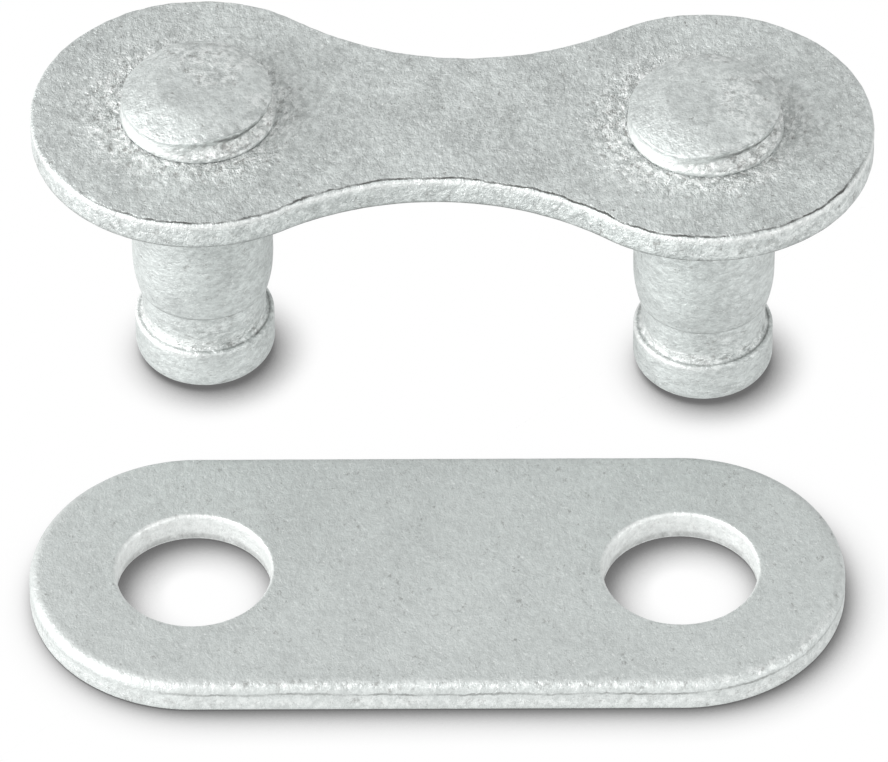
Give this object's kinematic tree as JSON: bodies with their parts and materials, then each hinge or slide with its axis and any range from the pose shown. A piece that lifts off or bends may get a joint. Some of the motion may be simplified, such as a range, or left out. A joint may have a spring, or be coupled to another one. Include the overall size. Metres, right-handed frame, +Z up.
{
  "type": "chain connecting link",
  "caption": "Clip-free connecting link for a drive chain: a waisted outer plate riveted to grooved pins, with its loose cover plate lying beside it.",
  "frame": {"origin": "on the table, under the middle of the box around both laid-out pieces", "axes": "+X along the pitch from the left pin to the right pin, +Y from the loose cover plate to the link, +Z up"},
  "size_m": [0.0212, 0.0174, 0.0089],
  "materials": {
    "pin_plate": "tumbled, dull plated steel",
    "left_pin": "tumbled, dull plated steel",
    "right_pin": "tumbled, dull plated steel",
    "cover_plate": "tumbled, dull plated steel"
  },
  "bodies": {
    "pin_link": {"pin_plate": "pin_plate", "left_pin": "left_pin", "right_pin": "right_pin"},
    "cover": {"cover_plate": "cover_plate"}
  },
  "joints": [
    {"name": "cover_lift", "type": "slide", "parent": "pin_link", "child": "cover", "axis": [0, 0, 1], "range_m": [0, 0.012]}
  ]
}
